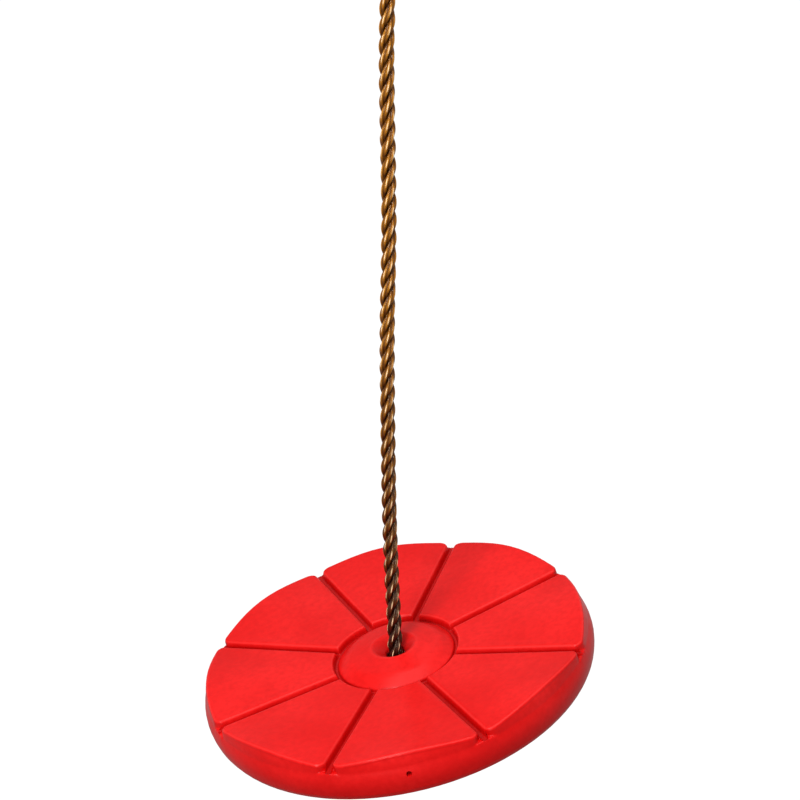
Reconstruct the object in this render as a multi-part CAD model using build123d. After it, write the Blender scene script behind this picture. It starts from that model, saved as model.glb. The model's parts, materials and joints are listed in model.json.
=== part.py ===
from build123d import *
import os
from math import acos, cos, pi, radians, sin, sqrt, tan

# A round petal-topped swing seat on one laid rope, hung from a ring and a snap hook.
# Millimetres, +Z up. The origin is inside the top bow of the snap hook, where the hanger bears.
# The rope hangs down the Z axis and the seat hangs tilted about the Y axis.

# ---- driving dimensions ----
SEAT_DIAMETER = 280.0
SEAT_TILT = 15.0            # the seat's axis leans this far towards -X
PETALS = 8
FIRST_GROOVE = 31.5         # direction of one groove, degrees about the seat's axis
ROPE_DIAMETER = 10.5
ROPE_DROP = 700.0           # origin to the seat's throat, where the seat pivots

# ---- seat, in its own axes: Z = 0 is the narrowest section of the neck ----
SEAT_RADIUS = SEAT_DIAMETER / 2
WALL = 3.0
CORNER_MARGIN = 0.5         # the hollow's rim stays this much further in than the wall alone
PETAL_TOP = 6.7             # at the rim
DISH = 3.6                  # fall of the petals and of the groove floors from the rim to the hub
GROOVE_FLOOR = 0.9          # at the rim
SEAT_BOTTOM = -22.3
GROOVE_WIDTH = 5.0
PETAL_ARC = 96.0            # radius of a petal's outer edge
PETAL_CORNER = 8.0
PETAL_EDGE = 2.6            # rounding of a petal's top edge
HUB_RADIUS = 40.0
HUB_TOP = 8.0
HUB_SHOULDER_IN = 7.0       # where the hub's crown turns down, in from the hub's edge
HUB_SHOULDER_DROP = 3.0
HUB_EDGE = 1.0              # height at which the hub's crown meets its upright side
HUB_GROOVE = 3.5            # width of the ring groove round the hub
RIM_LEAN = 1.2              # the rim's top lies this far inside its widest line
RIM_KNEE = 5.5              # height of the widest line above the bottom
FOOT_INSET = 3.0            # the bottom's edge inside the widest line
FUNNEL_SLOPE = 52.0         # degrees from the seat's axis
NECK_SLOPE = 26.5
THROAT_RADIUS = 6.75
THROAT_LIP = 3.0
BOSS_RADIUS = 17.0          # ball under the neck that rocks in the washer
BOSS_END = -10.0
RECESS_TOP = 1.0
RECESS_RADIUS = 23.0
RECESS_MOUTH = 35.0
VENT_DIAMETER = 4.0
VENT_HEIGHT = -4.0

# ---- washer, stopper knot and rope ends ----
RUNNING_GAP = 0.3           # between curved faces of bodies that move on each other
WASHER_THICKNESS = 2.5
WASHER_HOLE = 11.4
WASHER_EDGE = 58.0          # degrees from the rope's axis to the washer's edge
KNOT_RADIUS = 15.5
KNOT_HEIGHT = 34.0
KNOT_RISE = 2.6             # the knot's shoulder above the lowest point of its dished top
KNOT_SHOULDER = 9.0         # roundings of the knot's top and bottom
KNOT_FOOT = 11.0
KNOT_TAIL = 28.0
TAIL_END = 0.5              # the tail runs on this far at both ends
SLEEVE_LENGTH = 14.0
SLEEVE_WALL = 0.6

# ---- snap hook: an oval of round steel wire in the XZ plane ----
HOOK_WIRE = 8.0
HOOK_LENGTH = 80.0
HOOK_WIDTH = 36.0
HINGE_HEIGHT = -49.0
NOSE_HEIGHT = -12.0
TONGUE_THICKNESS = 3.0
CATCH_SIZE = 6.0            # length and width of the nose's flat catch
CATCH_OFFSET = 0.5          # the catch lies this much nearer the spine
TONGUE_GAP = 0.2
GATE_GAP = 0.4
RIVET_DIAMETER = 3.0
RIVET_CLEARANCE = 0.05
SPRING_BORE = 4.0
SPRING_DIAMETER = 3.4
SPRING_WIRE = 0.6
SPRING_TURNS = 7
SPRING_LENGTH = 12.0
PUSH_PIN_HEAD = 2.0
PIN_GAP = 0.4               # between the tongue and the push pin
PIN_CHAMFER = 0.5

# ---- hanging ring in the YZ plane, thimble and rope eye in the XZ plane ----
RING_WIRE = 6.0
RING_RADIUS = 18.0
EYE_RADIUS = 16.5           # rope's centre line round the thimble
LEG_SLOPE = 20.0            # degrees from the vertical
LEG_OFFSET = 5.6            # each leg from the Z axis below the eye
GROOVE_CLEARANCE = 0.25
THIMBLE_WALL = 2.0
THIMBLE_FLANGE = 1.0
THIMBLE_TIP = 8.0           # how near the Z axis the thimble's legs come
FERRULE_LENGTH = 16.0
FERRULE_WALL = 2.4
FERRULE_CHAMFER = 0.8
FERRULE_TOPS = (-147.0, -167.0)
EYE_TAIL_END = -199.0
OFFSET_TOP = -208.0         # the standing leg runs back to the Z axis between these heights
OFFSET_BOTTOM = -238.0
OFFSET_BEND = 120.0
LEG_BEND = 50.0

# ---- derived values ----
ROPE_RADIUS = ROPE_DIAMETER / 2
HOOK_HALF = (HOOK_WIDTH - HOOK_WIRE) / 2
HOOK_BOTTOM = HOOK_WIRE - HOOK_LENGTH + HOOK_WIRE / 2
PIN_BASE = HINGE_HEIGHT + HOOK_WIRE / 2 + PIN_GAP
RING_TOP = HOOK_BOTTOM + HOOK_WIRE / 2 + RING_WIRE / 2 + RUNNING_GAP
RING_BOTTOM = RING_TOP - 2 * RING_RADIUS
CHANNEL_INNER = ROPE_RADIUS + GROOVE_CLEARANCE
CHANNEL_OUTER = CHANNEL_INNER + THIMBLE_WALL
EYE_CENTRE = RING_BOTTOM + RING_WIRE / 2 + RUNNING_GAP + CHANNEL_OUTER - EYE_RADIUS
LEG_TOP_X = EYE_RADIUS * cos(radians(LEG_SLOPE))
LEG_TOP_Z = EYE_CENTRE - EYE_RADIUS * sin(radians(LEG_SLOPE))
LEG_END_Z = LEG_TOP_Z - (LEG_TOP_X - LEG_OFFSET) / tan(radians(LEG_SLOPE))
WASHER_INNER = BOSS_RADIUS + RUNNING_GAP
WASHER_OUTER = WASHER_INNER + WASHER_THICKNESS
KNOT_SEAT = WASHER_OUTER + RUNNING_GAP

THROAT = Pos(0, 0, -ROPE_DROP)
SEAT_PLACE = THROAT * Rot(0, -SEAT_TILT, 0)
PETAL_STEP = 360.0 / PETALS


def rounded(points, radii):
    """A closed face in the XZ plane through (x, z) points, some of them rounded."""
    face = make_face(Plane.XZ * Polyline(*points, close=True))
    for index, radius in radii.items():
        x, z = points[index]
        corner = face.vertices().sort_by_distance(Vector(x, 0, z))[0]
        face = fillet(corner, radius)
    return face


def spin(face):
    """Revolve an XZ face about the Z axis."""
    return revolve(face, Axis.Z)


def rod(radius, start, end):
    """A round bar between two points."""
    axis = Vector(*end) - Vector(*start)
    return extrude(Plane(origin=start, z_dir=axis) * Circle(radius), axis.length)


# ---- seat ----
def petal_outline(shrink=0.0):
    """One petal from above, centred on the X axis, drawn in by shrink all round."""
    half = radians(PETAL_STEP / 2)
    side = GROOVE_WIDTH / 2 + shrink
    inner = HUB_RADIUS + HUB_GROOVE + shrink
    reach = 2 * SEAT_RADIUS
    wedge = Polyline(
        (side / sin(half), 0),
        (side / sin(half) + reach * cos(half), reach * sin(half)),
        (side / sin(half) + reach * cos(half), -reach * sin(half)),
        close=True,
    )
    arc = Pos(SEAT_RADIUS - PETAL_ARC, 0) * Circle(PETAL_ARC - shrink)
    outline = make_face(wedge) & arc
    outline -= Circle(inner)
    corners = outline.vertices().sort_by(Axis.X)[-2:]
    return fillet(corners, PETAL_CORNER - shrink)


def dished(level, radius):
    """Height at a radius of a dished surface that stands at this level at the rim."""
    return level - DISH * (SEAT_RADIUS - radius) / (SEAT_RADIUS - HUB_RADIUS)


def below_dish(level):
    """Everything outside the hub's core and under a dished surface."""
    near = HUB_RADIUS / 2
    far = 2 * SEAT_RADIUS
    outline = Polyline(
        (near, SEAT_BOTTOM),
        (far, SEAT_BOTTOM),
        (far, dished(level, far)),
        (near, dished(level, near)),
        close=True,
    )
    return spin(make_face(Plane.XZ * outline))


def petal():
    """A raised petal with a dished top and a rounded top edge."""
    base = dished(GROOVE_FLOOR, HUB_RADIUS) - 1
    body = extrude(Pos(0, 0, base) * petal_outline(), 2 * PETAL_TOP - base) & below_dish(PETAL_TOP)
    top = body.faces().sort_by(Axis.Z)[-1]
    return fillet(top.edges(), PETAL_EDGE)


def petal_pocket():
    """The hollow inside a petal."""
    base = dished(GROOVE_FLOOR, HUB_RADIUS) - WALL - 1
    column = extrude(Pos(0, 0, base) * petal_outline(WALL), 2 * PETAL_TOP - base)
    return column & below_dish(PETAL_TOP - WALL)


def round_petals(make):
    """Eight copies of a petal feature, between the grooves."""
    first = FIRST_GROOVE + PETAL_STEP / 2
    return [Rot(0, 0, first + k * PETAL_STEP) * make() for k in range(PETALS)]


def throat_side(slope, direction, height):
    """Tangent point on the throat's lip and the radius that the cone reaches at a height."""
    angle = radians(slope)
    x = THROAT_RADIUS + THROAT_LIP * (1 - cos(angle))
    z = direction * THROAT_LIP * sin(angle)
    return (x, z), x + (height - z) * direction * tan(angle)


def seat_body():
    """The turned shape: hub, base, rim, neck, boss and knot recess."""
    upper, funnel_radius = throat_side(FUNNEL_SLOPE, 1, HUB_TOP)
    lower, boss_bore = throat_side(NECK_SLOPE, -1, BOSS_END)
    boss_edge = sqrt(BOSS_RADIUS ** 2 - BOSS_END ** 2)
    slant = (acos(-BOSS_END / BOSS_RADIUS) + pi / 2) / 2
    shoulder = (HUB_RADIUS - HUB_SHOULDER_IN, HUB_TOP - HUB_SHOULDER_DROP)
    rim_top = (SEAT_RADIUS - RIM_LEAN, GROOVE_FLOOR)
    rim_knee = (SEAT_RADIUS, SEAT_BOTTOM + RIM_KNEE)
    foot = (SEAT_RADIUS - FOOT_INSET, SEAT_BOTTOM)
    lip = ThreePointArc(lower, (THROAT_RADIUS, 0), upper)
    ball = ThreePointArc(
        (BOSS_RADIUS, 0),
        (BOSS_RADIUS * sin(slant), -BOSS_RADIUS * cos(slant)),
        (boss_edge, BOSS_END),
    )
    outside = Polyline(
        upper,
        (funnel_radius, HUB_TOP),
        shoulder,
        (HUB_RADIUS, HUB_EDGE),
        (HUB_RADIUS, dished(GROOVE_FLOOR, HUB_RADIUS)),
        rim_top,
        rim_knee,
        foot,
        (RECESS_MOUTH, SEAT_BOTTOM),
        (RECESS_RADIUS, RECESS_TOP),
        (BOSS_RADIUS, RECESS_TOP),
        (BOSS_RADIUS, 0),
    )
    bore = Polyline((boss_edge, BOSS_END), (boss_bore, BOSS_END), lower)
    face = make_face(Plane.XZ * (lip + outside + ball + bore))
    softened = (
        ((funnel_radius, HUB_TOP), 2.0),
        (shoulder, 9.0),
        ((HUB_RADIUS, HUB_EDGE), 2.5),
        (rim_top, 1.5),
        (rim_knee, 6.0),
        (foot, 4.0),
        ((RECESS_MOUTH, SEAT_BOTTOM), 2.0),
        ((RECESS_RADIUS, RECESS_TOP), 2.0),
    )
    for (x, z), radius in softened:
        corner = face.vertices().sort_by_distance(Vector(x, 0, z))[0]
        face = fillet(corner, radius)
    return spin(face)


def seat_hollow():
    """The air space inside the moulding."""
    ceiling = GROOVE_FLOOR - WALL
    floor = SEAT_BOTTOM + WALL
    crown = HUB_TOP - WALL - HUB_SHOULDER_DROP - 1
    outer = SEAT_RADIUS - WALL - CORNER_MARGIN
    inner = HUB_RADIUS - WALL
    return spin(rounded(
        (
            (RECESS_MOUTH + WALL, floor),
            (SEAT_RADIUS - 2 * WALL, floor),
            (outer, SEAT_BOTTOM + RIM_KNEE),
            (outer - RIM_LEAN, ceiling),
            (inner, dished(ceiling, inner)),
            (inner, HUB_EDGE - WALL / 2),
            (HUB_RADIUS - HUB_SHOULDER_IN, crown),
            (RECESS_RADIUS + 2 * WALL, crown),
        ),
        {1: 2.0},
    ))


def seat_disc():
    seat = seat_body() + round_petals(petal)
    seat -= seat_hollow()
    seat -= round_petals(petal_pocket)
    vent_angle = radians(FIRST_GROOVE + PETAL_STEP / 2 + 180)
    inside = SEAT_RADIUS - 4 * WALL
    outside = SEAT_RADIUS + WALL
    seat -= rod(
        VENT_DIAMETER / 2,
        (inside * cos(vent_angle), inside * sin(vent_angle), VENT_HEIGHT),
        (outside * cos(vent_angle), outside * sin(vent_angle), VENT_HEIGHT),
    )
    return SEAT_PLACE * seat


# ---- washer and stopper knot, on the rope's axis ----
def knot_washer():
    """A dished washer that the ball under the neck rocks in."""
    shell = Sphere(WASHER_OUTER) - Sphere(WASHER_INNER)
    edge = radians(WASHER_EDGE)
    height = WASHER_OUTER
    cone = Pos(0, 0, -height / 2) * Cone(height * tan(edge), 0.001, height)
    dish = shell & cone
    dish -= Cylinder(WASHER_HOLE / 2, 3 * WASHER_OUTER)
    return THROAT * dish


def stopper_knot(rope):
    """The knot's outer shape, bedded under the washer, with its short tail."""
    half = KNOT_HEIGHT / 2
    middle = KNOT_RISE - KNOT_SEAT - half
    knot = spin(rounded(
        (
            (0, middle + half),
            (KNOT_RADIUS, middle + half),
            (KNOT_RADIUS, middle - half),
            (0, middle - half),
        ),
        {1: KNOT_SHOULDER, 2: KNOT_FOOT},
    ))
    knot -= Sphere(KNOT_SEAT)
    tail = Cylinder(ROPE_RADIUS, KNOT_TAIL + 2 * TAIL_END)
    knot += Pos(0, 0, middle - half - KNOT_TAIL / 2) * tail
    return THROAT * knot - rope


# ---- rope ----
def eye_corner(angle):
    """A corner of the rope's route round the thimble's crown."""
    reach = EYE_RADIUS / cos(radians((180 + 2 * LEG_SLOPE) / 6))
    return (reach * cos(radians(angle)), 0, EYE_CENTRE + reach * sin(radians(angle)))


def rope_route():
    """The rope's centre line: up from the knot, round the eye and down to the tail's end."""
    step = (180 + 2 * LEG_SLOPE) / 3
    points = [
        (0, 0, -ROPE_DROP - KNOT_SEAT),
        (0, 0, OFFSET_BOTTOM),
        (-LEG_OFFSET, 0, OFFSET_TOP),
        (-LEG_OFFSET, 0, LEG_END_Z),
        eye_corner(90 + step),
        eye_corner(90),
        eye_corner(90 - step),
        (LEG_OFFSET, 0, LEG_END_Z),
        (LEG_OFFSET, 0, EYE_TAIL_END),
    ]
    crown = EYE_RADIUS - 0.05
    radii = [OFFSET_BEND, OFFSET_BEND, LEG_BEND, crown, crown, crown, LEG_BEND]
    return FilletPolyline(*points, radius=radii)


def hanging_rope():
    route = rope_route()
    start = Plane(origin=route @ 0, z_dir=route % 0)
    return sweep(start * Circle(ROPE_RADIUS), path=route), route


def rope_end_sleeves():
    """Shrunk sleeves over the rope's two cut ends."""
    knot_end = KNOT_RISE - ROPE_DROP - KNOT_SEAT - KNOT_HEIGHT - KNOT_TAIL - TAIL_END
    sleeve = Cylinder(ROPE_RADIUS + SLEEVE_WALL, SLEEVE_LENGTH) - Cylinder(ROPE_RADIUS, SLEEVE_LENGTH)
    half = SLEEVE_LENGTH / 2
    return Compound(children=[
        Pos(LEG_OFFSET, 0, EYE_TAIL_END + half) * sleeve,
        Pos(0, 0, knot_end + half) * sleeve,
    ])


def rope_ferrules():
    """Two oval sleeves pressed over the eye's two legs."""
    height = 2 * (ROPE_RADIUS + FERRULE_WALL)
    section = SlotOverall(2 * LEG_OFFSET + height, height)
    for side in (-1, 1):
        section -= Pos(side * LEG_OFFSET, 0) * Circle(ROPE_RADIUS)
    ferrule = extrude(section, -FERRULE_LENGTH)
    ends = ferrule.faces().sort_by(Axis.Z)
    rims = ends[0].outer_wire().edges() + ends[-1].outer_wire().edges()
    ferrule = chamfer(rims, FERRULE_CHAMFER)
    return Compound(children=[Pos(0, 0, top) * ferrule for top in FERRULE_TOPS])


# ---- ring and thimble ----
def hanging_ring():
    return Pos(0, 0, RING_TOP - RING_RADIUS) * Rot(0, 90, 0) * Torus(RING_RADIUS, RING_WIRE / 2)


def eye_thimble():
    """A grooved steel eye that the rope lies in."""
    length = (LEG_TOP_X - THIMBLE_TIP) / sin(radians(LEG_SLOPE))
    tip_z = LEG_TOP_Z - length * cos(radians(LEG_SLOPE))
    crown = ThreePointArc(
        (-LEG_TOP_X, 0, LEG_TOP_Z), (0, 0, EYE_CENTRE + EYE_RADIUS), (LEG_TOP_X, 0, LEG_TOP_Z)
    )
    left = Line((-THIMBLE_TIP, 0, tip_z), (-LEG_TOP_X, 0, LEG_TOP_Z))
    right = Line((LEG_TOP_X, 0, LEG_TOP_Z), (THIMBLE_TIP, 0, tip_z))
    path = Wire([left.edge(), crown.edge(), right.edge()])
    start = Plane(origin=left @ 0, x_dir=(0, 1, 0), z_dir=left % 0)
    inward = 1 if start.y_dir.X > 0 else -1
    ring = Circle(CHANNEL_OUTER) - Circle(CHANNEL_INNER)
    keep = Pos(0, inward * (CHANNEL_OUTER - THIMBLE_FLANGE)) * Rectangle(
        2 * CHANNEL_OUTER, 2 * CHANNEL_OUTER
    )
    return sweep(start * (ring & keep), path=path)


# ---- snap hook ----
def wire_route():
    """The hook's centre line, from the gate's hinge round to the nose."""
    top = HOOK_WIRE / 2
    hinge_end = HINGE_HEIGHT - HOOK_WIRE / 2 - GATE_GAP
    low = Line((HOOK_HALF, 0, hinge_end), (HOOK_HALF, 0, HOOK_BOTTOM + HOOK_HALF))
    bottom = ThreePointArc(
        (HOOK_HALF, 0, HOOK_BOTTOM + HOOK_HALF),
        (0, 0, HOOK_BOTTOM),
        (-HOOK_HALF, 0, HOOK_BOTTOM + HOOK_HALF),
    )
    spine = Line((-HOOK_HALF, 0, HOOK_BOTTOM + HOOK_HALF), (-HOOK_HALF, 0, top - HOOK_HALF))
    bow = ThreePointArc(
        (-HOOK_HALF, 0, top - HOOK_HALF), (0, 0, top), (HOOK_HALF, 0, top - HOOK_HALF)
    )
    nose = Line((HOOK_HALF, 0, top - HOOK_HALF), (HOOK_HALF, 0, NOSE_HEIGHT))
    return Wire([part.edge() for part in (low, bottom, spine, bow, nose)])


def snap_hook_body():
    route = wire_route()
    wire = HOOK_WIRE / 2
    start = Plane(origin=route @ 0, z_dir=route % 0)
    body = sweep(start * Circle(wire), path=route)
    hinge = Pos(HOOK_HALF, 0, HINGE_HEIGHT) * Rot(90, 0, 0) * Cylinder(wire, TONGUE_THICKNESS)
    stem_length = wire + 1
    stem = Pos(HOOK_HALF, 0, HINGE_HEIGHT - stem_length / 2) * Box(2 * wire, TONGUE_THICKNESS, stem_length)
    catch_place = Pos(HOOK_HALF - CATCH_OFFSET, 0, NOSE_HEIGHT - CATCH_SIZE / 2)
    catch = catch_place * Box(CATCH_SIZE, TONGUE_THICKNESS, CATCH_SIZE)
    body += [hinge, stem, catch]
    body -= Pos(HOOK_HALF, 0, HINGE_HEIGHT) * Rot(90, 0, 0) * Cylinder(
        RIVET_DIAMETER / 2, 2 * HOOK_WIRE
    )
    return body


def hook_gate():
    """The sprung gate, forked over the hinge tongue and over the nose."""
    wire = HOOK_WIRE / 2
    top = NOSE_HEIGHT - GATE_GAP
    pivot = Pos(HOOK_HALF, 0, HINGE_HEIGHT) * Rot(90, 0, 0)
    gate = rod(wire, (HOOK_HALF, 0, HINGE_HEIGHT), (HOOK_HALF, 0, top))
    foot = rod(wire, (HOOK_HALF, 0, HINGE_HEIGHT - wire), (HOOK_HALF, 0, HINGE_HEIGHT))
    gate += foot & (pivot * Cylinder(wire, HOOK_WIRE))
    slot = TONGUE_THICKNESS + 2 * TONGUE_GAP
    gate -= pivot * Cylinder(wire + RUNNING_GAP, slot)
    catch_depth = CATCH_SIZE + GATE_GAP
    gate -= Pos(HOOK_HALF, 0, top - catch_depth / 2) * Box(2 * HOOK_WIRE, slot, catch_depth)
    gate -= pivot * Cylinder(RIVET_DIAMETER / 2 + RIVET_CLEARANCE, 2 * HOOK_WIRE)
    bore_foot = HINGE_HEIGHT + wire / 2
    bore_top = PIN_BASE + PUSH_PIN_HEAD + SPRING_LENGTH + PIN_GAP
    gate -= rod(SPRING_BORE / 2, (HOOK_HALF, 0, bore_foot), (HOOK_HALF, 0, bore_top))
    return gate


def gate_rivet():
    """The pin that the gate turns on, fixed in the hook's tongue."""
    length = 2 * sqrt((HOOK_WIRE / 2) ** 2 - (RIVET_DIAMETER / 2) ** 2)
    return Pos(HOOK_HALF, 0, HINGE_HEIGHT) * Rot(90, 0, 0) * Cylinder(RIVET_DIAMETER / 2, length)


def gate_push_pin():
    """A round-nosed pin between the spring and the tongue."""
    pin = Cylinder(SPRING_DIAMETER / 2, PUSH_PIN_HEAD)
    pin = Pos(HOOK_HALF, 0, PIN_BASE + PUSH_PIN_HEAD / 2) * pin
    return chamfer(pin.edges().group_by(Axis.Z)[0], PIN_CHAMFER)


def gate_spring():
    """The coil spring inside the gate."""
    base = PIN_BASE + PUSH_PIN_HEAD + SPRING_WIRE / 2 + RIVET_CLEARANCE
    radius = (SPRING_DIAMETER - SPRING_WIRE) / 2
    height = SPRING_LENGTH - SPRING_WIRE
    coil = Helix(pitch=height / SPRING_TURNS, height=height, radius=radius)
    start = Plane(origin=coil @ 0, z_dir=coil % 0)
    wire = sweep(start * Circle(SPRING_WIRE / 2), path=coil, is_frenet=True)
    return Pos(HOOK_HALF, 0, base) * wire


def main():
    os.makedirs("parts", exist_ok=True)
    rope, route = hanging_rope()
    nodes = {
        "seat_disc": seat_disc(),
        "knot_washer": knot_washer(),
        "stopper_knot": stopper_knot(rope),
        "hanging_rope": rope,
        "rope_end_sleeves": rope_end_sleeves(),
        "rope_ferrules": rope_ferrules(),
        "eye_thimble": eye_thimble(),
        "hanging_ring": hanging_ring(),
        "snap_hook_body": snap_hook_body(),
        "hook_gate": hook_gate(),
        "gate_rivet": gate_rivet(),
        "gate_push_pin": gate_push_pin(),
        "gate_spring": gate_spring(),
    }
    for name, shape in nodes.items():
        export_step(shape, f"parts/{name}.step")
    section = pi * ROPE_RADIUS ** 2
    print("rope length", round(route.length, 1), "volume / section", round(rope.volume / section, 1))


main()
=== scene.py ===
import json
from math import asin, cos, pi, radians, sin, sqrt, tan

import bpy
from mathutils import Matrix, Vector
from mathutils.kdtree import KDTree


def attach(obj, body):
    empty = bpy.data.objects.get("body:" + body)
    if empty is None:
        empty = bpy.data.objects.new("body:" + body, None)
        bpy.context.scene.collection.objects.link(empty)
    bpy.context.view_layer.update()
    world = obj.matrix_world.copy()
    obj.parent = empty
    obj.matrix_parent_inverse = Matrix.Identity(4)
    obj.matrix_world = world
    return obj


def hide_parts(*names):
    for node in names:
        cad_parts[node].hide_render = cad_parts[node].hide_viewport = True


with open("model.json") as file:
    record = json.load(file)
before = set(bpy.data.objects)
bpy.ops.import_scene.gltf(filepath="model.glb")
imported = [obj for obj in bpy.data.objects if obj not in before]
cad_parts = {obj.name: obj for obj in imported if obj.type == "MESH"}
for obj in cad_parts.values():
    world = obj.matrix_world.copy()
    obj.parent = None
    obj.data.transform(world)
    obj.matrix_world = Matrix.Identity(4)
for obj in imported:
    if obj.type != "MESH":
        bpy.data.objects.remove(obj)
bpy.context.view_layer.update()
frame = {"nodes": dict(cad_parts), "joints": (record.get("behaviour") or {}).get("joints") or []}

MM = 0.001


def joint(name):
    """The place of a joint in the frame."""
    return Vector(next(j for j in frame["joints"] if j["name"] == name)["pos_m"])


THROAT = joint("seat_tilt")

# ---- shape values, in millimetres ----
SEAT_TILT = 15.0
PETALS = 8
FIRST_GROOVE = 31.5
ROPE = 10.5

HUB_RADIUS = 42.0
HUB_TOP = 8.0
HUB_EDGE = -1.2
HUB_FOOT = 0.5              # how far the hub's wall leans out to its foot
FLOOR_RING = 1.9            # a ring on the ring groove's floor, from the hub's edge
PETAL_TOP = 6.7             # at the rim
DISH = 4.2                  # fall from the rim to the hub
GROOVE_DEPTH = 5.8
GROOVE_HALF = 2.5           # half the width of a groove between two petals
GROOVE_WALL = 6             # fall of a groove's wall for each mm beyond the petal's edge
GROOVE_BLEND = 8            # how sharply that wall turns into the groove's floor
CORNER_BLEND = 4            # how sharply a petal's edges meet at its corners
EDGE_ROUND = 2.6            # rounding of a petal's top edge
RING_GROOVE = 3.4           # width of the groove round the hub
PETAL_CORNER_REACH = 139.2  # a petal's outer edge at a groove
PETAL_MIDDLE_REACH = 137.0  # and half-way between two grooves
CROWN = 4.4                 # rise of that outer edge's middle
CROWN_ACROSS = 1.5          # how the rise gathers towards the petal's middle line
CROWN_OUT = 2.5             # and towards its outer edge
CORNER = 7.0                # rounding of a petal's outer corners, from above
CORNER_PART = 0.95          # the part of that rounding that is used
MOUTH_SPARE = 0.2           # the lip's opening at a groove's end is this much wider each side
MOUTH_BLEND = 0.9           # and blends into the petal over this width
SHELF = 8.0                 # half-length of the ledge at a groove's end
SHELF_BLEND = 2.5           # width over which the ledge fades into the petal's flare
VENT_RADIUS = 2.0
VENT_ANGLE = FIRST_GROOVE + 180 + 180 / PETALS
VENT_HEIGHT = -4.0
VENT_DEPTH = 9.0
VENT_SIDES = 24
VENT_BEYOND = 6.0           # how far its cutter stands out of the rim
RIM_TOP = 139.3             # radius of the rim's lip
RIM_LOW = 140.0             # and of its knee
RIM_LIP = PETAL_TOP - GROOVE_DEPTH
RIM_BELLY = 1.7             # bulge between the lip and the knee
RIM_KNEE = -16.8
WALL_END = RIM_KNEE + 4     # where the wall's rings end and the knee begins
SEAT_BOTTOM = -22.3
BOTTOM_INSET = 3.0          # the flat underside starts this far inside the knee
NECK_RADIUS = 6.75
NECK_FLARE = 1.2            # height of the neck's rounded ends
NECK_LAST = -0.2            # height of the last ring, just under the first
FUNNEL_RADIUS = 15.6
SHOULDER_RADIUS = 33.0      # where the hub's top starts to fall
SHOULDER_FALL = 3.0
RECESS_RADIUS = 35.0        # the recess under the seat at its mouth
RECESS_TOP_RADIUS = 23.0
RECESS_TOP = 1.0
BOSS_RADIUS = 17.0          # the ball round the neck
BOSS_SWEEP = radians(36)    # how far the ball goes below its middle
BOSS_END = -10.0
BOSS_END_RADIUS = 13.7
BOSS_MOUTH = 11.3
WALL_SHARES = (0.05, 0.1, 0.15, 0.2, 0.23, 0.27, 0.31, 0.34, 0.4, 0.5, 0.65, 0.83)
LEDGE_SHARE = 0.2           # share of the wall above the ledge
LEDGE_START = 0.18          # the ledge steps out from this share of the wall
LEDGE_RUN = 0.14            # over this share
LEDGE_END = 0.31            # and the wall below it starts here
FLARE_SHARE = 0.6           # share of the wall that a petal's flare takes

# distances of the seat's rings of points from the ring groove and from the petals' outer edge
NEAR_RING = (-1.4, -0.9, -0.5, -0.2, 0.05, 0.3, 0.6, 1.0, 1.5, 2.1, 2.8, 4.0, 6.0)
NEAR_EDGE = (7.0, 4.6, 3.2, 2.6, 2.1, 1.6, 1.2, 0.8, 0.5, 0.25, 0.1, 0.0)
MIDDLE_STEPS = 16
TOP_RINGS = len(NEAR_RING) + len(NEAR_EDGE) + MIDDLE_STEPS - 1


# ---- camera ----
CAMERA_FROM_THROAT = (-0.851, -1.0885, 0.6019)
CAMERA_TURN = (73.34, 0.526, -38.373)
LENS = 94.5


def add_camera():
    """A long lens a little above the seat, level with the upper part of the rope."""
    data = bpy.data.cameras.new("camera")
    data.sensor_width = 36.0
    data.lens = LENS
    data.clip_start = 0.05
    camera = bpy.data.objects.new("camera", data)
    bpy.context.scene.collection.objects.link(camera)
    camera.location = THROAT + Vector(CAMERA_FROM_THROAT)
    camera.rotation_euler = [radians(turn) for turn in CAMERA_TURN]
    bpy.context.scene.camera = camera


# ---- small helpers ----
def new_mesh(name, points, faces, smooth=True):
    """A new object made of these points, in metres, and faces."""
    mesh = bpy.data.meshes.new(name)
    mesh.from_pydata([tuple(p) for p in points], [], faces)
    mesh.validate()
    if smooth:
        mesh.polygons.foreach_set("use_smooth", [True] * len(mesh.polygons))
    piece = bpy.data.objects.new(name, mesh)
    bpy.context.scene.collection.objects.link(piece)
    return piece


def round_line(corners, steps=6, longest=6.0):
    """Points along a line of (r, z, radius) corners, each rounded to its radius."""
    points = []
    for i, (r, z, radius) in enumerate(corners):
        here = Vector((r, z))
        if radius == 0 or i in (0, len(corners) - 1):
            points.append(here)
            continue
        back = (Vector(corners[i - 1][:2]) - here).normalized()
        ahead = (Vector(corners[i + 1][:2]) - here).normalized()
        half = back.angle(ahead) / 2
        centre = here + (back + ahead).normalized() * radius / sin(half)
        start = here + back * radius / tan(half) - centre
        turn = start.angle_signed(here + ahead * radius / tan(half) - centre)
        for k in range(steps + 1):
            points.append(centre + Matrix.Rotation(-turn * k / steps, 2) @ start)
    line = [points[0]]
    for point in points[1:]:
        count = max(1, int((point - line[-1]).length / longest))
        first = line[-1]
        line += [first.lerp(point, (k + 1) / count) for k in range(count)]
    return line


# ---- seat ----
def seat_columns():
    """Lines that run out over the seat: (groove angle, side, mm aside, share of the rest)."""
    offsets = (0.7, 1.3, 1.7, 2.0, 2.3, 2.7, 3.2, 3.8, 4.6, 5.8, 7.4, 9.2, 11.2)
    shares = (0.2, 0.4, 0.6, 0.8)
    columns = []
    for k in range(PETALS):
        angle = radians(FIRST_GROOVE + k * 360 / PETALS)
        columns.append((angle, 1, 0.0, 0.0))
        columns += [(angle, 1, offset, 0.0) for offset in offsets]
        columns += [(angle, 1, offsets[-1], share) for share in shares + (1.0,)]
        after = angle + 2 * pi / PETALS
        columns += [(after, -1, offsets[-1], share) for share in reversed(shares)]
        columns += [(after, -1, offset, 0.0) for offset in reversed(offsets)]
    return columns


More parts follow.
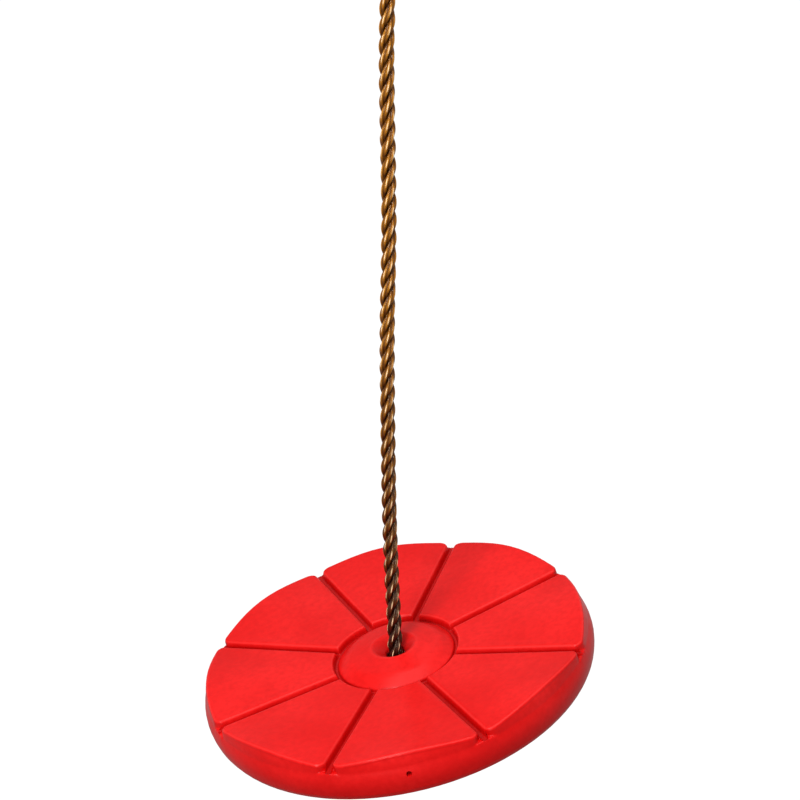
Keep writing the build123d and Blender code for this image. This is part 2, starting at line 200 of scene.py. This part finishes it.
def column_angle(column, r):
    """Where a column lies at radius r, and how far that is from its groove's line."""
    groove, side, offset, share = column
    reach = max(r, HUB_RADIUS + RING_GROOVE)
    own = asin(offset / reach)
    own += share * (pi / PETALS - own)
    return groove + side * own, reach * sin(own)


def drop(inside):
    """Depth below the petal's top at a distance inside its edge."""
    if inside >= EDGE_ROUND:
        return 0.0
    if inside >= 0:
        return EDGE_ROUND - sqrt(EDGE_ROUND ** 2 - (EDGE_ROUND - inside) ** 2)
    return EDGE_ROUND - inside * GROOVE_WALL


def from_groove(column):
    """Where a column meets the rim: 0 at a groove and 1 half-way between two, and mm from the groove."""
    angle, aside = column_angle(column, PETAL_MIDDLE_REACH)
    return abs(angle - column[0]) / (pi / PETALS), aside


def petal_edge(column):
    """Radius of the petal's outer edge on a column, or of the rim's lip across a groove."""
    share, aside = from_groove(column)
    edge = PETAL_MIDDLE_REACH + (PETAL_CORNER_REACH - PETAL_MIDDLE_REACH) * (1 - share) ** 2
    into_corner = min(max(0.0, GROOVE_HALF + CORNER - aside), CORNER_PART * CORNER)
    edge += sqrt(CORNER ** 2 - into_corner ** 2) - CORNER
    mouth = min(1.0, max(0.0, (GROOVE_HALF + MOUTH_SPARE - aside) / MOUTH_BLEND))
    return edge + (RIM_TOP - edge) * mouth


def crown(column, r):
    """Rise of a petal's top towards the middle of its outer edge."""
    share = from_groove(column)[0]
    out = max(0.0, (r - HUB_RADIUS) / (PETAL_MIDDLE_REACH - HUB_RADIUS))
    return CROWN * sin(pi / 2 * share) ** CROWN_ACROSS * out ** CROWN_OUT


def dished(level, r):
    """Height at a radius of a dished surface that stands at this level at the rim."""
    return level - DISH * (RIM_LOW - r) / (RIM_LOW - HUB_RADIUS)


def petal_height(column, r, edge):
    """Height of the seat's top outside the hub."""
    aside = column_angle(column, r)[1]
    sides = (aside - GROOVE_HALF, r - HUB_RADIUS - RING_GROOVE, edge - r)
    total = sum(drop(inside) ** CORNER_BLEND for inside in sides) ** (1 / CORNER_BLEND)
    ratio = total / GROOVE_DEPTH
    fall = GROOVE_DEPTH * ratio / (1 + ratio ** GROOVE_BLEND) ** (1 / GROOVE_BLEND)
    return dished(PETAL_TOP, r) + crown(column, r) - fall


def hub_line():
    """From the narrowest section of the neck up the funnel and over the hub."""
    floor = dished(PETAL_TOP - GROOVE_DEPTH, HUB_RADIUS)
    return round_line((
        (NECK_RADIUS, 0, 0),
        (NECK_RADIUS, NECK_FLARE, 2.5),
        (FUNNEL_RADIUS, HUB_TOP, 3.0),
        (SHOULDER_RADIUS, HUB_TOP - SHOULDER_FALL, 14.0),
        (HUB_RADIUS, HUB_EDGE, 2.6),
        (HUB_RADIUS + HUB_FOOT, floor, 1.0),
        (HUB_RADIUS + FLOOR_RING, floor, 0.0),
    ), longest=2.5)


def underside_line():
    """From the rim's lower corner round the bottom, the recess, the boss and back up the neck."""
    turns = [BOSS_SWEEP * k / 8 for k in range(8)]
    ball = [(BOSS_RADIUS * cos(turn), -BOSS_RADIUS * sin(turn), 0) for turn in turns]
    return round_line((
        (rim_reach(WALL_END), WALL_END, 0),
        (RIM_LOW, RIM_KNEE, 6.0),
        (RIM_LOW - BOTTOM_INSET, SEAT_BOTTOM, 4.5),
        (RECESS_RADIUS, SEAT_BOTTOM, 2.0),
        (RECESS_TOP_RADIUS, RECESS_TOP, 2.0),
        (BOSS_RADIUS, RECESS_TOP, 0.5),
        *ball,
        (BOSS_END_RADIUS, BOSS_END, 0.5),
        (BOSS_MOUTH, BOSS_END, 0.8),
        (NECK_RADIUS, -NECK_FLARE, 2.5),
        (NECK_RADIUS, NECK_LAST, 0),
    ), longest=8.0)


def rim_reach(z):
    """Radius of the rim's outside at a height: it bellies out a little between its lip and its knee."""
    down = min(1.0, max(0.0, (RIM_LIP - z) / (RIM_LIP - RIM_KNEE)))
    return RIM_TOP + (RIM_LOW - RIM_TOP) * down + RIM_BELLY * sin(pi * down)


def wall_line(column, edge, top):
    """Down the rim: a flare under a petal, and a ledge beside the end of a groove."""
    ledge = min(1.0, max(0.0, (SHELF - from_groove(column)[1]) / SHELF_BLEND))
    line = []
    for share in WALL_SHARES:
        z = top + (WALL_END - top) * share
        inward = max(0.0, 1 - share / FLARE_SHARE) ** 2
        flare = Vector((rim_reach(z) - (rim_reach(z) - edge) * inward, z))
        out = min(1.0, max(0.0, (share - LEDGE_START) / LEDGE_RUN))
        under = max(0.0, (share - LEDGE_END) / (1 - LEDGE_END))
        z = top + (RIM_LIP - top) * min(1.0, share / LEDGE_SHARE) + (WALL_END - RIM_LIP) * under
        step = Vector((edge + (rim_reach(z) - edge) * out, z))
        line.append(tuple(flare.lerp(step, ledge)))
    return line


def seat_rings(column):
    """(r, z) down one column, from the throat over the top and rim and back under."""
    edge = petal_edge(column)
    rings = [tuple(p) for p in hub_line()]
    start = HUB_RADIUS + RING_GROOVE
    near = [start + step for step in NEAR_RING]
    far = [edge - step for step in NEAR_EDGE]
    middle = [near[-1] + (far[0] - near[-1]) * k / MIDDLE_STEPS for k in range(1, MIDDLE_STEPS)]
    rings += [(r, petal_height(column, r, edge)) for r in near + middle + far]
    rings += wall_line(column, edge, rings[-1][1])
    return rings + [tuple(p) for p in underside_line()]


FUNNEL_SHADE = 9.0           # painted shade darkens the funnel inside this radius
FUNNEL_SHADE_FADE = 8.0          # and fades over this much further out
HUB_HIGHLIGHT_RADIUS = 17.0      # the painted highlight ring on the funnel's lip
HUB_HIGHLIGHT_HALF = 3.0
EDGE_HIGHLIGHT_DEPTH = 0.1            # the painted highlight on a petal's rounded edge is brightest at this share of the groove's depth
EDGE_HIGHLIGHT_HALF = 0.12


def painted_light_marks(column, r, z, down_rim):
    """Painted light at a point, each 0 to 1: painted shade by depth in a groove and in the funnel, a
    painted highlight on rounded edges and on the funnel's lip, and painted shade by how far down the rim
    the point is.
    """
    if down_rim:
        # painted shade: darker down the rim's wall and underside
        return 0.0, 0.0, min(1.0, max(0.0, (PETAL_TOP - z) / (PETAL_TOP - SEAT_BOTTOM)))
    # inside the hub: painted shade in the funnel and a painted highlight ring on its lip
    if r < HUB_RADIUS:
        funnel_shade = 0.7 * max(0.0, 1 - max(0.0, r - FUNNEL_SHADE) / FUNNEL_SHADE_FADE)
        lip_highlight = 0.5 * max(0.0, 1 - abs(r - HUB_HIGHLIGHT_RADIUS) / HUB_HIGHLIGHT_HALF)
        return funnel_shade, lip_highlight, 0.0
    # outside it: painted shade by depth in a groove and a painted highlight on each petal's rounded edge
    below = (dished(PETAL_TOP, r) + crown(column, r) - z) / GROOVE_DEPTH
    return min(1.0, max(0.0, below)), max(0.0, 1 - abs(below - EDGE_HIGHLIGHT_DEPTH) / EDGE_HIGHLIGHT_HALF), 0.0


def bore_vent(seat):
    """The blind vent hole in the rim."""
    sides = VENT_SIDES
    around = [2 * pi * k / sides for k in range(sides)]
    ring = [(VENT_RADIUS * cos(turn), VENT_RADIUS * sin(turn)) for turn in around]
    points = [(x * MM, y * MM, z * MM) for z in (-VENT_DEPTH, VENT_BEYOND) for x, y in ring]
    faces = [tuple(reversed(range(sides))), tuple(range(sides, 2 * sides))]
    faces += [(k, (k + 1) % sides, sides + (k + 1) % sides, sides + k) for k in range(sides)]
    cutter = new_mesh("vent_cutter", points, faces, smooth=False)
    turned = Matrix.Rotation(radians(VENT_ANGLE), 4, "Z")
    outward = Matrix.Rotation(radians(90), 4, "Y")
    cutter.matrix_world = turned @ Matrix.Translation((RIM_TOP * MM, 0, VENT_HEIGHT * MM)) @ outward
    cut = seat.modifiers.new("vent", "BOOLEAN")
    cut.object = cutter
    cut.solver = "EXACT"
    bpy.context.view_layer.update()
    bored = bpy.data.meshes.new_from_object(seat.evaluated_get(bpy.context.evaluated_depsgraph_get()))
    seat.modifiers.clear()
    bore = {edge for face in bored.polygons if not face.use_smooth for edge in face.edge_keys}
    for edge in bored.edges:
        edge.use_edge_sharp = edge.key in bore
    seat.data = bored
    bpy.data.objects.remove(cutter)


def mark_painted_light(seat, points, light_marks):
    """Stores on each vertex the painted light marks of the nearest of these points."""
    tree = KDTree(len(points))
    for i, point in enumerate(points):
        tree.insert(point, i)
    tree.balance()
    values = []
    for vertex in seat.data.vertices:
        values += light_marks[tree.find(vertex.co)[1]]
    kind = seat.data.attributes.new("kind", "FLOAT_VECTOR", "POINT")
    kind.data.foreach_set("vector", values)


def add_seat():
    """The red moulding, a closed mesh of columns and rings with the vent bored in its rim."""
    columns = seat_columns()
    points = []
    light_marks = []
    on_top = len(hub_line()) + TOP_RINGS
    for column in columns:
        for i, (r, z) in enumerate(seat_rings(column)):
            angle = column_angle(column, r)[0]
            points.append((r * cos(angle) * MM, r * sin(angle) * MM, z * MM))
            light_marks.append(painted_light_marks(column, r, z, i >= on_top))
    rows = len(points) // len(columns)
    faces = []
    for i in range(len(columns)):
        ahead = (i + 1) % len(columns)
        for j in range(rows):
            below = (j + 1) % rows
            faces.append((i * rows + j, i * rows + below, ahead * rows + below, ahead * rows + j))
    seat = new_mesh("seat_moulding", points, faces)
    bore_vent(seat)
    mark_painted_light(seat, points, light_marks)
    seat.matrix_world = Matrix.Translation(THROAT) @ Matrix.Rotation(radians(-SEAT_TILT), 4, "Y")
    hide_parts("seat_disc")
    seat.data.materials.append(red_plastic())
    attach(seat, "seat")


# ---- rope ----
STRANDS = 3
LAY = 36.3                  # one full turn of a strand
STRAND = 2.6                # strand radius
STRAND_ORBIT = 2.85         # strand's centre from the rope's centre
YARNS = 4
YARN_ORBIT = 1.35           # yarn's centre from the strand's centre
YARN = STRAND - YARN_ORBIT  # yarn radius
YARN_TURN = 0.12            # radians per millimetre, the other way round from the strands
AROUND = 42                 # points round a strand
ROPE_FOOT = -720.1          # height where the rope goes over into the knot
EYE_RADIUS = 16.5
EYE_CENTRE = -102.4
EYE_HALF_TURN = 36.667      # half the angle between two corners of the eye's route
EYE_LEG = 5.6               # from the rope's axis to each leg of the eye


def eye_corner(angle):
    """A corner of the route round the eye, at this angle from the eye's centre."""
    reach = EYE_RADIUS / cos(radians(EYE_HALF_TURN))
    return (reach * cos(radians(angle)), 0, EYE_CENTRE + reach * sin(radians(angle)))


# from the knot up to the eye, round it and down its short leg; the long part bows a little
ROPE_ROUTE = (
    (0, 0, ROPE_FOOT),
    (-0.3, 0.2, -690),
    (-2.0, 1.6, -640),
    (-3.1, 2.4, -560),
    (-3.1, 2.4, -470),
    (-1.1, 0.9, -400),
    (-1.4, 1.1, -330),
    (-1.5, 1.2, -270),
    (-0.5, 0.2, -238),
    (-EYE_LEG, 0, -208),
    (-EYE_LEG, 0, -136.6),
    eye_corner(163.3),
    eye_corner(90),
    eye_corner(16.7),
    (EYE_LEG, 0, -136.6),
    (EYE_LEG, 0, -199),
)


def route_line(name, corners):
    """Points every millimetre along the NURBS spline that has these corners, in mm."""
    curve = bpy.data.curves.new(name, "CURVE")
    curve.dimensions = "3D"
    curve.resolution_u = 40
    spline = curve.splines.new("NURBS")
    spline.points.add(len(corners) - 1)
    for point, corner in zip(spline.points, corners):
        point.co = (*corner, 1)
    spline.order_u = 3
    spline.use_endpoint_u = True
    holder = bpy.data.objects.new(name, curve)
    mesh = bpy.data.meshes.new_from_object(holder)
    raw = [v.co.copy() for v in mesh.vertices]
    bpy.data.objects.remove(holder)
    bpy.data.curves.remove(curve)
    bpy.data.meshes.remove(mesh)
    return even_points(raw, 1.0)


def even_points(raw, step):
    """The same line with its points evenly spaced."""
    lengths = [0.0]
    for a, b in zip(raw, raw[1:]):
        lengths.append(lengths[-1] + (b - a).length)
    count = max(8, round(lengths[-1] / step))
    points = []
    k = 0
    for i in range(count + 1):
        want = lengths[-1] * i / count
        while k < len(raw) - 2 and lengths[k + 1] < want:
            k += 1
        span = max(lengths[k + 1] - lengths[k], 1e-9)
        points.append(raw[k].lerp(raw[k + 1], (want - lengths[k]) / span))
    return points


def line_frames(points):
    """Position, distance along and two cross directions at each point, turning as little as can be."""
    frames = []
    across = Vector((1, 0, 0))
    along = 0.0
    for i, point in enumerate(points):
        ahead = points[min(i + 1, len(points) - 1)] - points[max(i - 1, 0)]
        tangent = ahead.normalized()
        across = (across - tangent * across.dot(tangent)).normalized()
        if i:
            along += (point - points[i - 1]).length
        frames.append((point, along, tangent, across.copy(), tangent.cross(across)))
    return frames


def laid_rope(name, points, phase=0.0):
    """A three-strand laid rope along these points, each strand made of twisted yarns."""
    frames = line_frames(points)
    verts = []
    faces = []
    coords = []
    for strand in range(STRANDS):
        start = len(verts)
        for row, (point, along, tangent, across, other) in enumerate(frames):
            turn = phase + 2 * pi * (along / LAY + strand / STRANDS)
            out = across * cos(turn) + other * sin(turn)
            swing = other * cos(turn) - across * sin(turn)
            own = (tangent + swing * (2 * pi * STRAND_ORBIT / LAY)).normalized()
            side = own.cross(out)
            centre = point + out * STRAND_ORBIT
            for k in range(AROUND):
                share = YARNS * k / AROUND
                aside = 2 * pi * (share - round(share)) / YARNS
                radius = YARN_ORBIT * cos(aside) + sqrt(YARN ** 2 - (YARN_ORBIT * sin(aside)) ** 2)
                angle = 2 * pi * k / AROUND - turn - YARN_TURN * along
                place = centre + (out * cos(angle) + side * sin(angle)) * radius
                verts.append(place * MM)
                crest = 1 - 2 * abs(share - round(share))
                coords += (crest, along, (place - point).length / ROPE * 2)
            if row:
                base = start + row * AROUND
                for k in range(AROUND):
                    beside = (k + 1) % AROUND
                    faces.append((base - AROUND + k, base - AROUND + beside, base + beside, base + k))
        faces.append(tuple(range(len(verts) - AROUND, len(verts))))
        faces.append(tuple(reversed(range(start, start + AROUND))))
    rope = new_mesh(name, verts, faces)
    lay = rope.data.attributes.new("lay", "FLOAT_VECTOR", "POINT")
    lay.data.foreach_set("vector", coords)
    rope.data.materials.append(rope_material())
    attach(rope, "rope")
    return rope


# ---- knot ----
KNOT_SCALE = 10.2           # millimetres to one unit of the list below
KNOT_DROP = -734.5          # height of the knot's centre
KNOT_HALF = (
    (0, 0, 1.41),
    (0.03, -0.02, 0.9),
    (-0.28, -0.46, 0.28),
    (-0.93, -0.45, -0.31),
    (-1.12, 0.18, -0.93),
    (-0.6, 0.92, -1.2),
    (0.28, 1.08, -1.02),
    (0.88, 0.64, -0.48),
)
KNOT_MIDDLE = (0.93, 0, 0)


def add_knot():
    """The overhand knot under the seat and its short tail."""
    turned = [(x, -y, -z) for x, y, z in reversed(KNOT_HALF)]
    corners = [*KNOT_HALF, KNOT_MIDDLE, *turned]
    route = [(x * KNOT_SCALE, y * KNOT_SCALE, z * KNOT_SCALE + KNOT_DROP) for x, y, z in corners]
    route[0] = (0, 0, ROPE_FOOT)
    route += [(0.4, -0.3, -763), (0, 0, -780)]
    knot = laid_rope("overhand_knot", route_line("knot_route", route), phase=2 * pi * ROPE_FOOT / LAY)
    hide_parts("stopper_knot")
    return knot


def add_rope(knot):
    """The hanging rope with its eye."""
    points = route_line("rope_route", ROPE_ROUTE)
    rope = laid_rope("laid_rope", points)
    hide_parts("hanging_rope")


# ---- materials ----
def shader(name):
    """A new material with its node tree and its Principled shader."""
    material = bpy.data.materials.new(name)
    material.use_nodes = True
    tree = material.node_tree
    return material, tree, tree.nodes["Principled BSDF"]


def node(tree, kind, **values):
    """A new node with these inputs set."""
    made = tree.nodes.new(kind)
    for name, value in values.items():
        made.inputs[name.replace("_", " ")].default_value = value
    return made


def noise(tree, scale, detail=3.0, stretch=(1, 1, 1)):
    """Grain fixed to the object, with this many features to the metre."""
    place = tree.nodes.new("ShaderNodeTexCoord")
    spread = node(tree, "ShaderNodeMapping", Scale=stretch)
    grain = node(tree, "ShaderNodeTexNoise", Scale=scale, Detail=detail)
    tree.links.new(place.outputs["Object"], spread.inputs["Vector"])
    tree.links.new(spread.outputs["Vector"], grain.inputs["Vector"])
    return grain.outputs["Fac"]


def ranged(tree, value, low, high, to_low, to_high):
    """A value moved from one range to another and held inside it."""
    part = node(tree, "ShaderNodeMapRange", From_Min=low, From_Max=high, To_Min=to_low, To_Max=to_high)
    tree.links.new(value, part.inputs["Value"])
    return part.outputs["Result"]


def ramped(tree, value, *stops):
    """Colours by value: stops are (position, (r, g, b))."""
    ramp = tree.nodes.new("ShaderNodeValToRGB")
    elements = ramp.color_ramp.elements
    while len(elements) < len(stops):
        elements.new(0.5)
    for element, (position, colour) in zip(elements, stops):
        element.position = position
        element.color = (*colour, 1)
    tree.links.new(value, ramp.inputs["Fac"])
    return ramp.outputs["Color"]


def mixed(tree, share, first, second, blend="MIX"):
    """Two colours mixed. A share is a number or a socket."""
    mix = tree.nodes.new("ShaderNodeMix")
    mix.data_type = "RGBA"
    mix.blend_type = blend
    if isinstance(share, float):
        mix.inputs[0].default_value = share
    else:
        tree.links.new(share, mix.inputs[0])
    for value, socket in ((first, mix.inputs[6]), (second, mix.inputs[7])):
        if isinstance(value, tuple):
            socket.default_value = (*value, 1)
        else:
            tree.links.new(value, socket)
    return mix.outputs[2]


def bumped(tree, surface, *layers):
    """Bump from layers of (height, strength, distance in metres)."""
    normal = None
    for height, strength, distance in layers:
        bump = node(tree, "ShaderNodeBump", Strength=strength, Distance=distance)
        tree.links.new(height, bump.inputs["Height"])
        if normal:
            tree.links.new(normal, bump.inputs["Normal"])
        normal = bump.outputs["Normal"]
    tree.links.new(normal, surface.inputs["Normal"])


def vector_parts(tree, name):
    """The three parts of a mesh attribute."""
    value = tree.nodes.new("ShaderNodeAttribute")
    value.attribute_name = name
    parts = tree.nodes.new("ShaderNodeSeparateXYZ")
    tree.links.new(value.outputs["Vector"], parts.inputs["Vector"])
    return parts.outputs


def red_plastic():
    """Blow-moulded red polyethylene: satin and faintly mottled, with a painted highlight on its edges,
    painted shade in its grooves and funnel, and painted shade down its rim.
    """
    material, tree, surface = shader("red_plastic")
    # the kind attribute holds painted shade in grooves and funnel, painted highlights on edges and
    # painted shade down the rim
    groove, edge, rim = vector_parts(tree, "kind")
    cloud = noise(tree, 14.0, 4.0)
    mottle = noise(tree, 260.0, 5.0)
    base = ramped(tree, cloud, (0.3, (0.60, 0.0022, 0.0020)), (0.7, (0.75, 0.0105, 0.0100)))
    base = mixed(tree, ranged(tree, mottle, 0.35, 0.70, 0.0, 0.45), base, (0.50, 0.0006, 0.0006))
    # painted highlight on the petals' rounded edges and the funnel's lip
    base = mixed(tree, ranged(tree, edge, 0.25, 1.0, 0.0, 0.35), base, (0.92, 0.055, 0.050))
    # painted shade: the rim's wall and underside darker than the top
    base = mixed(tree, ranged(tree, rim, 0.0, 0.25, 0.0, 0.3), base, (0.50, 0.0025, 0.0025))
    # painted shade in the grooves and the funnel, darker with depth
    base = mixed(tree, ranged(tree, groove, 0.25, 1.0, 0.0, 0.75), base, (0.33, 0.0008, 0.0008))
    tree.links.new(base, surface.inputs["Base Color"])
    patches = noise(tree, 38.0, 6.0)
    tree.links.new(ranged(tree, patches, 0.3, 0.7, 0.29, 0.38), surface.inputs["Roughness"])
    surface.inputs["Specular IOR Level"].default_value = 0.13
    grain = noise(tree, 1400.0, 2.0)
    sink = noise(tree, 30.0, 2.0)
    scuffs = noise(tree, 90.0, 8.0, (1.0, 9.0, 1.0))
    bumped(tree, surface, (sink, 0.35, 0.0012), (scuffs, 0.06, 0.0006), (grain, 0.10, 0.00012))
    return material


def rope_material():
    """Golden-brown twisted yarn with painted shade between its strands and yarns and painted glints on
    its crests, darker near the seat with a red cast that is a painted reflection of the seat.
    """
    found = bpy.data.materials.get("laid_rope")
    if found:
        return found
    material, tree, surface = shader("laid_rope")
    crest, along, out = vector_parts(tree, "lay")
    depth = ranged(tree, out, 0.66, 1.02, 0.0, 1.0)
    # painted shade: darker towards the rope's core, in the creases between strands
    colour = ramped(tree, depth, (0.0, (0.010, 0.002, 0.0003)), (0.5, (0.17, 0.052, 0.003)),
                    (1.0, (0.52, 0.205, 0.010)))
    # painted shade in the valleys between yarns
    valley_shade = ranged(tree, crest, 0.0, 0.75, 0.92, 0.0)
    colour = mixed(tree, valley_shade, colour, (0.060, 0.013, 0.0008))
    streak = noise(tree, 420.0, 4.0, (1, 1, 0.5))
    colour = mixed(tree, ranged(tree, streak, 0.4, 0.7, 0.0, 0.45), colour, (0.26, 0.088, 0.004))
    # darker towards the seat, with a red cast that is a painted reflection of the red seat
    seat_reflection_darkening = ranged(tree, along, 30.0, 280.0, 0.95, 0.0)
    colour = mixed(tree, seat_reflection_darkening, colour, (0.020, 0.004, 0.004))
    top = tree.nodes.new("ShaderNodeMath")
    top.operation = "MULTIPLY"
    tree.links.new(crest, top.inputs[0])
    tree.links.new(depth, top.inputs[1])
    glint = ranged(tree, top.outputs["Value"], 0.79, 0.94, 0.0, 0.95)
    colour = mixed(tree, glint, colour, (1.0, 0.76, 0.46))
    tree.links.new(colour, surface.inputs["Base Color"])
    fibre = noise(tree, 2600.0, 3.0)
    tree.links.new(ranged(tree, fibre, 0.3, 0.7, 0.2, 0.34), surface.inputs["Roughness"])
    surface.inputs["Specular IOR Level"].default_value = 0.4
    surface.inputs["Specular Tint"].default_value = (1.0, 0.82, 0.6, 1)
    bumped(tree, surface, (fibre, 0.35, 0.00022))
    return material


def metal(name, bright, dull, rough, grain, grain_depth, spots=0.0):
    """Bare or plated metal: patchy colour and gloss, fine grain, and a few dull spots."""
    material, tree, surface = shader(name)
    cloud = noise(tree, 160.0, 5.0)
    base = ramped(tree, cloud, (0.32, dull), (0.66, bright))
    marks = noise(tree, 520.0, 6.0)
    spot = tuple(0.35 * part for part in dull)
    base = mixed(tree, ranged(tree, marks, 0.62, 0.72, 0.0, spots), base, spot)
    tree.links.new(base, surface.inputs["Base Color"])
    surface.inputs["Metallic"].default_value = 1.0
    tree.links.new(ranged(tree, cloud, 0.3, 0.7, rough + 0.14, rough), surface.inputs["Roughness"])
    brushed = noise(tree, grain, 5.0, (1.0, 1.0, 0.12))
    bumped(tree, surface, (cloud, 0.25, 0.0003), (brushed, 0.22, grain_depth))
    return material


def sleeve_plastic():
    """Black heat-shrunk sleeve: slightly wrinkled and unevenly glossy."""
    material, tree, surface = shader("sleeve_plastic")
    wrinkle = noise(tree, 240.0, 4.0, (1.0, 1.0, 2.5))
    base = ramped(tree, wrinkle, (0.3, (0.006, 0.006, 0.007)), (0.75, (0.022, 0.021, 0.021)))
    tree.links.new(base, surface.inputs["Base Color"])
    tree.links.new(ranged(tree, wrinkle, 0.3, 0.7, 0.5, 0.34), surface.inputs["Roughness"])
    bumped(tree, surface, (wrinkle, 0.5, 0.0005), (noise(tree, 1800.0, 2.0), 0.15, 0.0001))
    return material


def finish_hardware():
    """Gives every CAD node that is still shown its own finish."""
    zinc = metal("zinc_plate", (0.60, 0.61, 0.62), (0.42, 0.43, 0.45), 0.24, 700.0, 0.0001, 0.35)
    steel = metal("polished_steel", (0.66, 0.65, 0.63), (0.52, 0.51, 0.50), 0.16, 1100.0, 0.00005, 0.15)
    spring = metal("spring_wire", (0.50, 0.49, 0.47), (0.30, 0.29, 0.28), 0.22, 1500.0, 0.00004, 0.3)
    aluminium = metal("aluminium", (0.56, 0.57, 0.58), (0.42, 0.43, 0.44), 0.34, 420.0, 0.00014, 0.2)
    finishes = {
        "snap_hook_body": zinc, "hook_gate": zinc, "hanging_ring": steel, "gate_rivet": steel,
        "gate_push_pin": steel, "gate_spring": spring, "eye_thimble": zinc, "knot_washer": steel,
        "rope_ferrules": aluminium, "rope_end_sleeves": sleeve_plastic(),
    }
    for name, material in finishes.items():
        for slot in frame["nodes"][name].material_slots:
            slot.material = material


# ---- light ----
FLOOR_HEIGHT = -2.0         # metres
FLOOR_HALF = 6.0


def add_light(name, size, power, place, target):
    """A rectangular lamp of this size in metres and power in watts, turned to its target."""
    data = bpy.data.lights.new(name, "AREA")
    data.shape = "RECTANGLE"
    data.size, data.size_y = size
    data.energy = power
    lamp = bpy.data.objects.new(name, data)
    bpy.context.scene.collection.objects.link(lamp)
    lamp.location = place
    lamp.rotation_euler = (Vector(place) - Vector(target)).to_track_quat("Z", "Y").to_euler()


def studio_world():
    """Soft light from above that fades towards the horizon and is dim from below."""
    world = bpy.data.worlds.new("studio")
    world.use_nodes = True
    nodes, links = world.node_tree.nodes, world.node_tree.links
    place = nodes.new("ShaderNodeTexCoord")
    parts = nodes.new("ShaderNodeSeparateXYZ")
    links.new(place.outputs["Generated"], parts.inputs["Vector"])
    height = nodes.new("ShaderNodeMapRange")
    height.inputs["From Min"].default_value = -1.0
    links.new(parts.outputs["Z"], height.inputs["Value"])
    ramp = nodes.new("ShaderNodeValToRGB")
    for position, level in ((0.0, 0.14), (0.5, 0.2), (0.7, 0.32), (1.0, 0.62)):
        if position in (0.0, 1.0):
            stop = ramp.color_ramp.elements[int(position)]
        else:
            stop = ramp.color_ramp.elements.new(position)
        stop.color = (level, level, level, 1)
    links.new(height.outputs["Result"], ramp.inputs["Fac"])
    links.new(ramp.outputs["Color"], nodes["Background"].inputs["Color"])
    bpy.context.scene.world = world


def add_backdrop():
    """A plain white floor and surround, seen by the camera and lighting nothing."""
    material, tree, surface = shader("white_backdrop")
    surface.inputs["Base Color"].default_value = (0, 0, 0, 1)
    surface.inputs["Emission Color"].default_value = (1, 1, 1, 1)
    surface.inputs["Emission Strength"].default_value = 1.02
    half = FLOOR_HALF
    low = FLOOR_HEIGHT
    high = low + 2 * half
    square = ((-half, -half), (half, -half), (half, half), (-half, half))
    corners = [(x, y, z) for z in (low, high) for x, y in square]
    walls = [(1, 2, 6, 5), (2, 3, 7, 6), (3, 0, 4, 7), (0, 1, 5, 4), (4, 5, 6, 7)]
    for name, faces in (("floor", [(0, 1, 2, 3)]), ("backdrop", walls)):
        piece = new_mesh(name, corners, faces, smooth=False)
        piece.data.materials.append(material)
        piece.visible_diffuse = False
        piece.visible_glossy = False
        piece.visible_shadow = False
        piece.visible_transmission = False


def add_studio():
    bpy.context.scene.view_settings.view_transform = "Standard"
    studio_world()
    add_backdrop()
    add_light("overhead", (1.0, 0.8), 6.5, THROAT + Vector((-0.25, -0.3, 1.5)), THROAT)
    add_light("front", (0.26, 0.26), 11.5, THROAT + Vector((-1.05, -0.42, 1.13)), THROAT)
    add_light("low_front", (0.3, 0.3), 9.0, THROAT + Vector((-1.28, -0.88, 0.41)), THROAT)


add_camera()
add_rope(add_knot())
add_seat()
finish_hardware()
add_studio()
